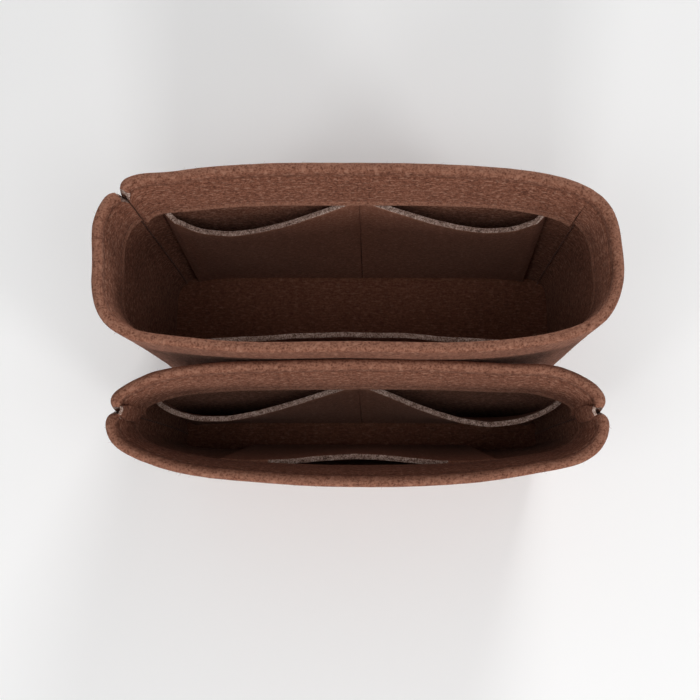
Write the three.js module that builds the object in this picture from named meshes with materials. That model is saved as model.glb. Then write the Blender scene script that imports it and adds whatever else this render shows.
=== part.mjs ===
import * as THREE from 'three';
import { mergeVertices } from 'three/addons/utils/BufferGeometryUtils.js';

// Purse organizer insert in felt: a large open pouch, and a slim pouch that stands in front of it.
// Millimetres. +X runs along the width, +Y to the back and +Z up. Both undersides lie on Z = 0,
// and the origin is under the middle of the set.

// Felt, thread, and the play between layers that touch
const FELT = 2.4;
const PLAY = 0.3;
const THREAD = 0.9;

// Large pouch: the depths at the rim and the base run back and forth from the widest line of its ends
const MAIN_HEIGHT = 140;
const MAIN_RIM_WIDTH = 250;
const MAIN_RIM_BACK_DEPTH = 54;
const MAIN_RIM_FRONT_DEPTH = 40;
const MAIN_BASE_WIDTH = 216;
const MAIN_BASE_BACK_DEPTH = 42;
const MAIN_BASE_FRONT_DEPTH = 31;
const MAIN_FLARE = 1.2;
const MAIN_SEAM_RUN = 42;

// Slim pouch: a lens at the rim that narrows to a thin base, set further back than the rim's middle
const SLIM_HEIGHT = 121;
const SLIM_RIM_WIDTH = 237;
const SLIM_RIM_BACK_DEPTH = 25;
const SLIM_RIM_FRONT_DEPTH = 36;
const SLIM_BASE_WIDTH = 200;
const SLIM_BASE_BACK_DEPTH = 11;
const SLIM_BASE_FRONT_DEPTH = 11;
const SLIM_BASE_SHIFT = 9;
const SLIM_FLARE = 1.15;

// How square each outline is: 2 is an ellipse, and more is squarer
const MAIN_RIM_BACK_POWER = 3.8;
const MAIN_RIM_FRONT_POWER = 3.2;
const MAIN_BASE_BACK_POWER = 8;
const MAIN_BASE_FRONT_POWER = 4;
const SLIM_RIM_BACK_POWER = 3;
const SLIM_RIM_FRONT_POWER = 2.7;
const SLIM_BASE_POWER = 8;

// Gap between the two pouches where the lower rim meets the other pouch
const POUCH_GAP = 0.3;

// Folded hem round each rim, its line of stitches, and the notch where two hems meet at a seam
const HEM = 31;
const HEM_STITCH_RISE = 4;
const SEAM_GAP = 0.8;
const NOTCH_DEPTH = 2.5;
const NOTCH_RUN = 7;

// Pockets: the lip dips below the hem and stands off the wall, furthest at its low point. A fullness
// below 1 keeps it off the wall nearer to its ends.
const POCKET_HEM_GAP = 0.6;
const POCKET_FLOOR_GAP = 1;
const POCKET_BELLY = 1.3;
const BACK_LIP_LOW_POINT = 0.35;
const FRONT_LIP_LOW_POINT = 0.5;
const BACK_LIP_FULLNESS = 1;
const FRONT_LIP_FULLNESS = 0.6;
const MAIN_BACK_POCKET_SIDE = 12;
const MAIN_BACK_POCKET_FOOT_SIDE = 7;
const MAIN_BACK_POCKET_DIP = 17;
const MAIN_BACK_POCKET_STAND = 10.5;
const MAIN_FRONT_POCKET_WIDTH = 190;
const MAIN_FRONT_POCKET_DIP = 6;
const MAIN_FRONT_POCKET_STAND = 11.5;
const SLIM_BACK_POCKET_SIDE = 17.5;
const SLIM_BACK_POCKET_FOOT_SIDE = 13;
const SLIM_BACK_POCKET_DIP = 19;
const SLIM_BACK_POCKET_STAND = 11.5;
const SLIM_FRONT_POCKET_WIDTH = 150;
const SLIM_FRONT_POCKET_DIP = 2;
const SLIM_FRONT_POCKET_STAND = 8;

// Mesh fineness
const WALL_ROWS = 4;
const FOLD_STEPS = 4;
const SHORT_WALL_COLUMNS = 26;
const LONG_WALL_COLUMNS = 40;
const END_CROWDING = 0.7;
const POCKET_COLUMNS = 14;
const POCKET_ROWS = 6;
const BASE_POINTS = 104;
const THREAD_CORNERS = 2;
const LENGTH_SAMPLES = 400;

const QUARTER = 0.25;
const MIDDLE_BACK = 0.25;
const LEFT_END = 0.5;
const MIDDLE_FRONT = 0.75;

const FOLD = 2 * FELT + PLAY;
const FLOOR = FELT + PLAY;

// Rounded quarter of an outline, from the end of the width to the middle of the depth.
class Quarter extends THREE.Curve {
  constructor(halfWidth, depth, power) {
    super();
    this.halfWidth = halfWidth;
    this.depth = depth;
    this.power = power;
    this.arcLengthDivisions = LENGTH_SAMPLES;
  }

  // The inset moves the outline inwards by the same amount on both axes.
  inset(t, inset, target = new THREE.Vector3()) {
    const angle = (t * Math.PI) / 2;
    const along = Math.max(Math.cos(angle), 0);
    const deep = Math.max(Math.sin(angle), 0);
    const reach = (along ** this.power + deep ** this.power) ** (-1 / this.power);
    return target.set((this.halfWidth - inset) * along * reach, (this.depth - inset) * deep * reach, 0);
  }

  getPoint(t, target) {
    return this.inset(t, 0, target);
  }
}

// Closed outline. The turn runs from the right end at 0 by the back, the left end and the front to 1.
class Outline {
  constructor({ width, back, front, backPower, frontPower, shift = 0 }) {
    this.back = new Quarter(width / 2, back, backPower);
    this.front = new Quarter(width / 2, front, frontPower);
    this.shift = shift;
  }

  point(turn, inset) {
    const wrapped = ((turn % 1) + 1) % 1;
    const atBack = wrapped <= LEFT_END;
    const half = atBack ? wrapped : 1 - wrapped;
    const onLeft = half > QUARTER;
    const share = (onLeft ? LEFT_END - half : half) / QUARTER;
    const quarter = atBack ? this.back : this.front;
    const point = quarter.inset(quarter.getUtoTmapping(share), inset);
    point.x *= onLeft ? -1 : 1;
    point.y *= atBack ? 1 : -1;
    point.y += this.shift;
    return point;
  }
}

// Pouch whose walls run from a base outline up to a wider rim outline.
class Pouch {
  constructor({ height, rim, base, flare }) {
    this.height = height;
    this.rim = new Outline(rim);
    this.base = new Outline(base);
    this.flare = flare;
    this.centre = 0;
  }

  wall(turn, z, inset) {
    const growth = (z / this.height) ** this.flare;
    const point = this.base.point(turn, inset).lerp(this.rim.point(turn, inset), growth);
    return new THREE.Vector3(point.x, point.y + this.centre, z);
  }

  // Turn covered by a length along the back or the front of the rim.
  turnOf(length, quarter = this.rim.back) {
    return (length / quarter.getLength()) * QUARTER;
  }
}

function signedVolume(geometry) {
  const corners = [new THREE.Vector3(), new THREE.Vector3(), new THREE.Vector3()];
  let total = 0;
  for (let i = 0; i < geometry.index.count; i += 3) {
    corners.forEach((corner, k) => {
      corner.fromBufferAttribute(geometry.attributes.position, geometry.index.getX(i + k));
    });
    total += corners[0].dot(corners[1].cross(corners[2])) / 6;
  }
  return total;
}

function turnFacesOutward(geometry) {
  if (signedVolume(geometry) > 0) {
    return;
  }
  const index = geometry.index;
  for (let i = 0; i < index.count; i += 3) {
    const first = index.getX(i);
    index.setX(i, index.getX(i + 1));
    index.setX(i + 1, first);
  }
}

// Cuts a piece flat, then moves each of its points to its place on the pouch.
function bend(flat, place) {
  flat.deleteAttribute('normal');
  flat.deleteAttribute('uv');
  const geometry = mergeVertices(flat);
  const position = geometry.attributes.position;
  for (let i = 0; i < position.count; i += 1) {
    const point = place(position.getX(i), position.getY(i), position.getZ(i));
    position.setXYZ(i, point.x, point.y, point.z);
  }
  turnFacesOutward(geometry);
  geometry.computeVertexNormals();
  return geometry;
}

// Section of a wall, inset across and height up: the felt rises, folds inwards over the rim and hangs
// down as the hem, with a thin slot between the two layers.
function wallSection(height) {
  const radius = FOLD / 2;
  const foldStart = height - radius;
  const section = new THREE.Shape();
  section.moveTo(0, FLOOR);
  for (let row = 1; row < WALL_ROWS; row += 1) {
    section.lineTo(0, THREE.MathUtils.lerp(FLOOR, height - HEM, row / (WALL_ROWS - 1)));
  }
  section.lineTo(0, foldStart);
  for (let step = 1; step <= FOLD_STEPS; step += 1) {
    const angle = Math.PI * (1 - step / FOLD_STEPS);
    section.lineTo(radius + radius * Math.cos(angle), foldStart + radius * Math.sin(angle));
  }
  section.lineTo(FOLD, height - HEM);
  section.lineTo(FELT + PLAY, height - HEM);
  section.lineTo(FELT + PLAY, foldStart);
  section.lineTo(FELT, foldStart);
  for (let row = WALL_ROWS - 1; row >= 0; row -= 1) {
    section.lineTo(FELT, THREE.MathUtils.lerp(FLOOR, height - HEM, row / (WALL_ROWS - 1)));
  }
  section.closePath();
  return section;
}

// Sweeps a section, inset across and height up, along a run of the wall between two seams. What lies in
// the hem is drawn down into a notch at each seam.
function sweep(pouch, section, { from, to, length, columns, crowding }) {
  const flat = new THREE.ExtrudeGeometry(section, {
    depth: 1,
    steps: columns,
    curveSegments: THREAD_CORNERS,
    bevelEnabled: false,
  });
  return bend(flat, (inset, z, along) => {
    const crowded = along - (crowding * Math.sin(2 * Math.PI * along)) / (2 * Math.PI);
    const toSeam = Math.min(crowded, 1 - crowded) * length;
    const near = Math.max(1 - toSeam / NOTCH_RUN, 0);
    const inHem = THREE.MathUtils.clamp((z - pouch.height + HEM) / HEM, 0, 1);
    const point = pouch.wall(THREE.MathUtils.lerp(from, to, crowded), z, inset);
    point.z -= NOTCH_DEPTH * near * near * inHem;
    return point;
  });
}

function wallPanel(pouch, run) {
  return sweep(pouch, wallSection(pouch.height), run);
}

// Flat base: a round blank drawn out to the pouch's base outline.
function basePanel(pouch) {
  const blank = new THREE.CylinderGeometry(1, 1, FELT, BASE_POINTS);
  return bend(blank, (x, y, z) => {
    const middle = new THREE.Vector3(0, pouch.centre + pouch.base.shift, 0);
    const edge = pouch.wall(Math.atan2(x, z) / (2 * Math.PI), 0, 0);
    const point = middle.lerp(edge, Math.hypot(x, z));
    point.z = y + FELT / 2;
    return point;
  });
}

// Patch pocket, sewn to a wall at its foot and its two edges. The turns of the edges are functions of
// the share of the way up, and the lip dips furthest at the low point between the edges.
function pocketPanel(pouch, { edge, otherEdge, dip, stand, lowPoint, fullness, forward }) {
  const skew = Math.log(0.5) / Math.log(lowPoint);
  const foot = FLOOR + POCKET_FLOOR_GAP;
  const peak = pouch.height - HEM - POCKET_HEM_GAP;
  const flat = new THREE.BoxGeometry(1, 1, 1, POCKET_COLUMNS, POCKET_ROWS, 1);
  return bend(flat, (x, y, z) => {
    const across = x + 0.5;
    const up = y + 0.5;
    const through = z + 0.5;
    const sag = Math.sin(Math.PI * across ** skew);
    const height = THREE.MathUtils.lerp(foot, peak - dip * sag, up);
    const turn = THREE.MathUtils.lerp(edge(up), otherEdge(up), across);
    const point = pouch.wall(turn, height, FELT + PLAY + through * FELT);
    point.y += forward * stand * Math.max(sag, 0) ** fullness * up ** POCKET_BELLY;
    return point;
  });
}

function backPocket(pouch, { seam, side, footSide, dip, stand, onLeft }) {
  const mirror = (turn) => (onLeft ? LEFT_END - turn : turn);
  const middle = MIDDLE_BACK - pouch.turnOf(THREAD / 2 + PLAY);
  return pocketPanel(pouch, {
    edge: (up) => mirror(seam + pouch.turnOf(THREE.MathUtils.lerp(footSide, side, up))),
    otherEdge: () => mirror(middle),
    dip,
    stand,
    lowPoint: BACK_LIP_LOW_POINT,
    fullness: BACK_LIP_FULLNESS,
    forward: -1,
  });
}

function frontPocket(pouch, { width, dip, stand }) {
  const half = pouch.turnOf(width / 2, pouch.rim.front);
  return pocketPanel(pouch, {
    edge: () => MIDDLE_FRONT - half,
    otherEdge: () => MIDDLE_FRONT + half,
    dip,
    stand,
    lowPoint: FRONT_LIP_LOW_POINT,
    fullness: FRONT_LIP_FULLNESS,
    forward: 1,
  });
}

// Section of a round sewing thread.
function threadSection(inset, z) {
  const section = new THREE.Shape();
  section.absarc(inset, z, THREAD / 2, 0, 2 * Math.PI);
  return section;
}

function hemStitch(pouch, run) {
  const inset = FOLD + PLAY + THREAD / 2;
  return sweep(pouch, threadSection(inset, pouch.height - HEM + HEM_STITCH_RISE), run);
}

// The thread that sews the walls to the base runs round outside, and its ends meet at the back.
function baseSeam(pouch) {
  const gap = pouch.turnOf(SEAM_GAP / 2);
  const inset = -(2 * PLAY + THREAD / 2);
  return sweep(pouch, threadSection(inset, FELT + PLAY / 2), {
    from: MIDDLE_BACK + gap,
    to: MIDDLE_BACK + 1 - gap,
    length: 2 * (pouch.base.back.getLength() + pouch.base.front.getLength()),
    columns: BASE_POINTS,
    crowding: 0,
  });
}

// Thread up a seam, from the floor to the hem.
function uprightSeam(pouch, turn) {
  const bottom = FLOOR + POCKET_FLOOR_GAP;
  const top = pouch.height - HEM - POCKET_HEM_GAP;
  const points = [];
  for (let row = 0; row <= WALL_ROWS; row += 1) {
    const z = THREE.MathUtils.lerp(bottom, top, row / WALL_ROWS);
    points.push(pouch.wall(turn, z, FELT + PLAY + THREAD / 2));
  }
  const flat = new THREE.ExtrudeGeometry(threadSection(0, 0), {
    steps: 2 * WALL_ROWS,
    curveSegments: THREAD_CORNERS,
    extrudePath: new THREE.CatmullRomCurve3(points),
  });
  return bend(flat, (x, y, z) => new THREE.Vector3(x, y, z));
}

const feltColour = new THREE.Color('#7a4a38');
const threadColour = new THREE.Color('#4a2a20');

function piece(name, geometry, color, roughness) {
  const mesh = new THREE.Mesh(geometry, new THREE.MeshStandardMaterial({ color, roughness, metalness: 0 }));
  mesh.name = name;
  return mesh;
}

const felt = (name, geometry) => piece(name, geometry, feltColour, 0.95);
const sewn = (name, geometry) => piece(name, geometry, threadColour, 0.8);

const main = new Pouch({
  height: MAIN_HEIGHT,
  rim: {
    width: MAIN_RIM_WIDTH,
    back: MAIN_RIM_BACK_DEPTH,
    front: MAIN_RIM_FRONT_DEPTH,
    backPower: MAIN_RIM_BACK_POWER,
    frontPower: MAIN_RIM_FRONT_POWER,
  },
  base: {
    width: MAIN_BASE_WIDTH,
    back: MAIN_BASE_BACK_DEPTH,
    front: MAIN_BASE_FRONT_DEPTH,
    backPower: MAIN_BASE_BACK_POWER,
    frontPower: MAIN_BASE_FRONT_POWER,
  },
  flare: MAIN_FLARE,
});

const slim = new Pouch({
  height: SLIM_HEIGHT,
  rim: {
    width: SLIM_RIM_WIDTH,
    back: SLIM_RIM_BACK_DEPTH,
    front: SLIM_RIM_FRONT_DEPTH,
    backPower: SLIM_RIM_BACK_POWER,
    frontPower: SLIM_RIM_FRONT_POWER,
  },
  base: {
    width: SLIM_BASE_WIDTH,
    back: SLIM_BASE_BACK_DEPTH,
    front: SLIM_BASE_FRONT_DEPTH,
    backPower: SLIM_BASE_POWER,
    frontPower: SLIM_BASE_POWER,
    shift: SLIM_BASE_SHIFT,
  },
  flare: SLIM_FLARE,
});

// The slim pouch stands against the large one, and the middle of the set's depth lies over the origin
const meetingHeight = Math.min(MAIN_HEIGHT, SLIM_HEIGHT);
const mainFront = -main.wall(MIDDLE_FRONT, meetingHeight, 0).y;
const slimBack = slim.wall(MIDDLE_BACK, meetingHeight, 0).y;
const setDepth = MAIN_RIM_BACK_DEPTH + mainFront + POUCH_GAP + slimBack + SLIM_RIM_FRONT_DEPTH;
main.centre = setDepth / 2 - MAIN_RIM_BACK_DEPTH;
slim.centre = SLIM_RIM_FRONT_DEPTH - setDepth / 2;

// Large pouch: one panel is the back, and one long panel wraps round both ends and the front.
function mainPouch() {
  const seam = main.turnOf(MAIN_SEAM_RUN);
  const gap = main.turnOf(SEAM_GAP / 2);
  const backRun = {
    from: seam + gap,
    to: LEFT_END - seam - gap,
    length: 2 * (main.rim.back.getLength() - MAIN_SEAM_RUN),
    columns: SHORT_WALL_COLUMNS,
    crowding: END_CROWDING,
  };
  const wrapRun = {
    from: LEFT_END - seam + gap,
    to: 1 + seam - gap,
    length: 2 * (main.rim.front.getLength() + MAIN_SEAM_RUN),
    columns: LONG_WALL_COLUMNS,
    crowding: END_CROWDING,
  };
  const backSizes = {
    seam,
    side: MAIN_BACK_POCKET_SIDE,
    footSide: MAIN_BACK_POCKET_FOOT_SIDE,
    dip: MAIN_BACK_POCKET_DIP,
    stand: MAIN_BACK_POCKET_STAND,
  };
  const frontSizes = {
    width: MAIN_FRONT_POCKET_WIDTH,
    dip: MAIN_FRONT_POCKET_DIP,
    stand: MAIN_FRONT_POCKET_STAND,
  };
  return [
    felt('main_base', basePanel(main)),
    felt('main_back_wall', wallPanel(main, backRun)),
    felt('main_wrap_wall', wallPanel(main, wrapRun)),
    felt('main_back_pocket_left', backPocket(main, { ...backSizes, onLeft: true })),
    felt('main_back_pocket_right', backPocket(main, { ...backSizes, onLeft: false })),
    felt('main_front_pocket', frontPocket(main, frontSizes)),
    sewn('main_back_hem_stitch', hemStitch(main, backRun)),
    sewn('main_wrap_hem_stitch', hemStitch(main, wrapRun)),
    sewn('main_corner_seam_left', uprightSeam(main, LEFT_END - seam)),
    sewn('main_corner_seam_right', uprightSeam(main, seam)),
    sewn('main_pocket_seam', uprightSeam(main, MIDDLE_BACK)),
    sewn('main_base_seam', baseSeam(main)),
  ];
}

// Slim pouch: a back and a front panel that meet in a seam up each end.
function slimPouch() {
  const gap = slim.turnOf(SEAM_GAP / 2);
  const backRun = {
    from: gap,
    to: LEFT_END - gap,
    length: 2 * slim.rim.back.getLength(),
    columns: SHORT_WALL_COLUMNS,
    crowding: END_CROWDING,
  };
  const frontRun = {
    from: LEFT_END + gap,
    to: 1 - gap,
    length: 2 * slim.rim.front.getLength(),
    columns: SHORT_WALL_COLUMNS,
    crowding: END_CROWDING,
  };
  const backSizes = {
    seam: 0,
    side: SLIM_BACK_POCKET_SIDE,
    footSide: SLIM_BACK_POCKET_FOOT_SIDE,
    dip: SLIM_BACK_POCKET_DIP,
    stand: SLIM_BACK_POCKET_STAND,
  };
  const frontSizes = {
    width: SLIM_FRONT_POCKET_WIDTH,
    dip: SLIM_FRONT_POCKET_DIP,
    stand: SLIM_FRONT_POCKET_STAND,
  };
  return [
    felt('slim_base', basePanel(slim)),
    felt('slim_back_wall', wallPanel(slim, backRun)),
    felt('slim_front_wall', wallPanel(slim, frontRun)),
    felt('slim_back_pocket_left', backPocket(slim, { ...backSizes, onLeft: true })),
    felt('slim_back_pocket_right', backPocket(slim, { ...backSizes, onLeft: false })),
    felt('slim_front_pocket', frontPocket(slim, frontSizes)),
    sewn('slim_back_hem_stitch', hemStitch(slim, backRun)),
    sewn('slim_front_hem_stitch', hemStitch(slim, frontRun)),
    sewn('slim_end_seam_left', uprightSeam(slim, LEFT_END)),
    sewn('slim_end_seam_right', uprightSeam(slim, 0)),
    sewn('slim_pocket_seam', uprightSeam(slim, MIDDLE_BACK)),
    sewn('slim_base_seam', baseSeam(slim)),
  ];
}

const mainGroup = new THREE.Group();
mainGroup.add(...mainPouch());

const slimGroup = new THREE.Group();
slimGroup.add(...slimPouch());

const organizer = new THREE.Group();
organizer.add(mainGroup, slimGroup);

export default organizer;
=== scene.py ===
"""Felt organizer set for a handbag: a deep open pouch and a slim pouch that stands against it."""

import logging
import math
import random
from abc import ABC, abstractmethod
from collections.abc import Callable, Iterator
from dataclasses import KW_ONLY, dataclass
from enum import Enum
from functools import cache, cached_property

import bmesh
import bpy
import numpy as np
from bmesh.types import BMEdge, BMesh
from bpy.types import Material, Mesh, MeshPolygon, Node, NodeSocket, Object
from mathutils import Matrix, Vector, noise


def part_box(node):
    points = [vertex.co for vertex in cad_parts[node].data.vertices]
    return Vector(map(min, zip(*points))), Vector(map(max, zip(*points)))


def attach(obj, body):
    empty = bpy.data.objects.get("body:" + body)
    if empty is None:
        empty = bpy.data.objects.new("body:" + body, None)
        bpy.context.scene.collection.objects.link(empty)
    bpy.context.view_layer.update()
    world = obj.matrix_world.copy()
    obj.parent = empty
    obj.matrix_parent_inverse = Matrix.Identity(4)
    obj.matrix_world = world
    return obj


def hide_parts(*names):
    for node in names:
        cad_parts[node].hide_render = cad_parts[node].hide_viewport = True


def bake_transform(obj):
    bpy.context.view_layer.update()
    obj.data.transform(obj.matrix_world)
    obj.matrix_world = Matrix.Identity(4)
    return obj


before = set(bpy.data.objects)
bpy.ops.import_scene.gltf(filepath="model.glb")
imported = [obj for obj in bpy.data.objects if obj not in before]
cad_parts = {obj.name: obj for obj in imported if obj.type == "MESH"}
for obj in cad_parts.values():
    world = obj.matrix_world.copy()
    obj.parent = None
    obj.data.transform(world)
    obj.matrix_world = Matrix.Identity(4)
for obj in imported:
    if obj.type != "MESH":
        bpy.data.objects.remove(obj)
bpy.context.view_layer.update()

LOG = logging.getLogger("organizer")

MM = 0.001
FELT = 2.4 * MM
PLAY = 0.3 * MM
FOLD = 2 * FELT + PLAY
FLOOR = FELT + PLAY
HEM = 31 * MM
HEM_STAND_CURVE = 1.5
HEM_STITCH_RISE = 4 * MM
HEM_STITCH_SINK = 0.30 * MM
POCKET_HEM_GAP = 0.6 * MM
POCKET_SEAM_GAP = 0.20 * MM
POCKET_FOOT = FLOOR + 1 * MM
UPRIGHT_SEAM_INSET = FELT + 0.75 * MM
BASE_SEAM_HEIGHT = FLOOR - 0.15 * MM
BASE_SEAM_OUT = 0.3 * MM
SEAM_GAP = 0.25 * MM
TIGHT_SEAM_GAP = 0.03 * MM

# Places on an outline, as shares of a whole turn from its right end.
BACK, LEFT_END, FRONT, WHOLE = 0.25, 0.5, 0.75, 1.0
# Start of the grain of a flat panel, which keeps it clear of the lines along a folded hem.
FAR = 1.0
GRAIN = "grain"
FACE, EDGE = 0, 1
WHITE = (1.0, 1.0, 1.0)

Pair = tuple[float, float]
Triple = tuple[float, float, float]
Stops = tuple[tuple[float, Triple], ...]
Inputs = dict[str | int, NodeSocket | float | tuple[float, ...]]
Line = Callable[[float], Vector]


def lerp(low: float, high: float, share: float) -> float:
    """Value a share of the way from low to high."""
    return low + (high - low) * share


def clamp(value: float) -> float:
    """Value kept between 0 and 1."""
    return min(max(value, 0.0), 1.0)


def bell(distance: float, spread: float) -> float:
    """Soft bump of height 1 that fades out past its spread."""
    return math.exp(-((distance / spread) ** 2))


class Side(Enum):
    """Left or right half of a pouch, as the camera sees it."""

    LEFT = "left"
    RIGHT = "right"

    def turn(self, turn: float) -> float:
        """Place on the outline, mirrored for the left half."""
        return LEFT_END - turn if self is Side.LEFT else turn


class Slot(str, Enum):
    """Material slots of the part's record."""

    FELT = "felt"
    THREAD = "thread"


@dataclass(frozen=True)
class Grain:
    """Random grain: cycles per metre, in all or along each axis, octaves, and strength of the finer ones."""

    scale: float | Triple
    octaves: float = 2.0
    finer: float = 0.5


class Surface:
    """Node tree of one finish, with short calls for the nodes that the finishes share."""

    def __init__(self, name: str) -> None:
        """Start a material with a plain shader.

        Args:
            name: Name of the material.
        """
        self.material = bpy.data.materials.new(name)
        self.material.use_nodes = True
        self.tree = self.material.node_tree
        self.shader = self.tree.nodes["Principled BSDF"]

    def fill(self, node: Node, inputs: Inputs) -> Node:
        """Set the inputs of a node, and link those that are given as sockets.

        Args:
            node: Node to fill.
            inputs: Value of each input, by its name or number.

        Returns:
            The same node.
        """
        for key, value in inputs.items():
            if isinstance(value, NodeSocket):
                self.tree.links.new(value, node.inputs[key])
            else:
                node.inputs[key].default_value = value
        return node

    def add(self, kind: str, inputs: Inputs, **settings: str) -> Node:
        """New node.

        Args:
            kind: Kind of node.
            inputs: Value of each input, by its name or number.
            settings: Other settings of the node.

        Returns:
            The node.
        """
        node = self.tree.nodes.new(kind)
        for name, value in settings.items():
            setattr(node, name, value)
        return self.fill(node, inputs)

    def place(self) -> NodeSocket:
        """Coordinates of the piece itself, in metres."""
        return self.add("ShaderNodeTexCoord", {}).outputs["Object"]

    def cloth(self) -> NodeSocket:
        """Coordinates that follow the cloth, in metres along it and up it."""
        return self.add("ShaderNodeUVMap", {}, uv_map=GRAIN).outputs["UV"]

    def noise(self, coords: NodeSocket, grain: Grain) -> NodeSocket:
        """Soft random value from 0 to 1.

        Args:
            coords: Coordinates that it follows.
            grain: Its grain.

        Returns:
            The value.
        """
        scale = grain.scale
        if isinstance(scale, tuple):
            coords = self.add("ShaderNodeMapping", {"Vector": coords, "Scale": scale}).outputs["Vector"]
            scale = 1.0
        inputs = {"Vector": coords, "Scale": scale, "Detail": grain.octaves, "Roughness": grain.finer}
        return self.add("ShaderNodeTexNoise", inputs).outputs["Fac"]

    def step(self, operation: str, *values: NodeSocket | float) -> NodeSocket:
        """Result of one step of arithmetic."""
        return self.add("ShaderNodeMath", dict(enumerate(values)), operation=operation).outputs[0]

    def weighed(self, weights: tuple[float, ...], *values: NodeSocket) -> NodeSocket:
        """Sum of values, each times its weight.

        Args:
            weights: Weight of each value.
            values: Values to add.

        Returns:
            The sum.
        """
        total: NodeSocket | float = 0.0
        for weight, value in zip(weights, values):
            total = self.step("MULTIPLY_ADD", value, weight, total)
        return total

    def ramp(self, value: NodeSocket, stops: Stops) -> NodeSocket:
        """Colour from a value.

        Args:
            value: Value from 0 to 1.
            stops: Each stop's place and linear colour, in order.

        Returns:
            The colour.
        """
        node = self.add("ShaderNodeValToRGB", {"Fac": value})
        elements = node.color_ramp.elements
        while len(elements) < len(stops):
            elements.new(0.5)
        for element, (spot, colour) in zip(elements, stops):
            element.position = spot
            element.color = (*colour, 1.0)
        return node.outputs["Color"]

    def mixed(self, share: NodeSocket, first: NodeSocket, second: Triple) -> NodeSocket:
        """First colour, gone over to the second by a share."""
        node = self.add("ShaderNodeMix", {"Factor": share, "A": first, "B": (*second, 1.0)}, data_type="RGBA")
        return next(out for out in node.outputs if out.type == "RGBA")

    def mask(self, value: NodeSocket, low: float, high: float, top: float = 1.0) -> NodeSocket:
        """Value that rises from 0 at its low limit to top at its high one."""
        inputs = {"Value": value, "From Min": low, "From Max": high, "To Max": top}
        return self.add("ShaderNodeMapRange", inputs).outputs["Result"]

    def near_line(self, cloth: NodeSocket, line: float, reach: float, top: float) -> NodeSocket:
        """Value that fades from its top at a line along the cloth to 0 at some distance from it.

        Args:
            cloth: Coordinates of the cloth, whose second is the distance from the fold.
            line: Distance of the line from the fold.
            reach: Distance from the line at which the value is 0.
            top: Value at the line.

        Returns:
            The value.
        """
        up = self.add("ShaderNodeSeparateXYZ", {"Vector": cloth}).outputs["Y"]
        gap = self.step("ABSOLUTE", self.step("SUBTRACT", up, line))
        inputs = {"Value": gap, "From Max": reach, "To Min": top, "To Max": 0.0}
        return self.add("ShaderNodeMapRange", inputs, interpolation_type="SMOOTHSTEP").outputs["Result"]

    def bump(self, height: NodeSocket, strength: float, distance: float) -> None:
        """Raise the surface by a height from 0 to 1, where 1 stands for a distance in metres."""
        node = self.add("ShaderNodeBump", {"Height": height, "Strength": strength, "Distance": distance})
        self.fill(self.shader, {"Normal": node.outputs["Normal"]})

    def dull(self, colour: NodeSocket, roughness: float, sheen: float, tint: Triple) -> Material:
        """Give the shader its colour and a dull surface, with a bloom of loose fibre if it has sheen.

        Args:
            colour: Colour of the surface.
            roughness: Roughness of the surface.
            sheen: Strength of the bloom.
            tint: Colour of the bloom, linear.

        Returns:
            The finished material.
        """
        surface = {"Base Color": colour, "Roughness": roughness, "Specular IOR Level": 0.15}
        sheen_and_highlight = {"Sheen Weight": sheen, "Sheen Roughness": 0.55, "Sheen Tint": (*tint, 1.0)}
        self.fill(self.shader, surface | sheen_and_highlight)
        return self.material


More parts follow.
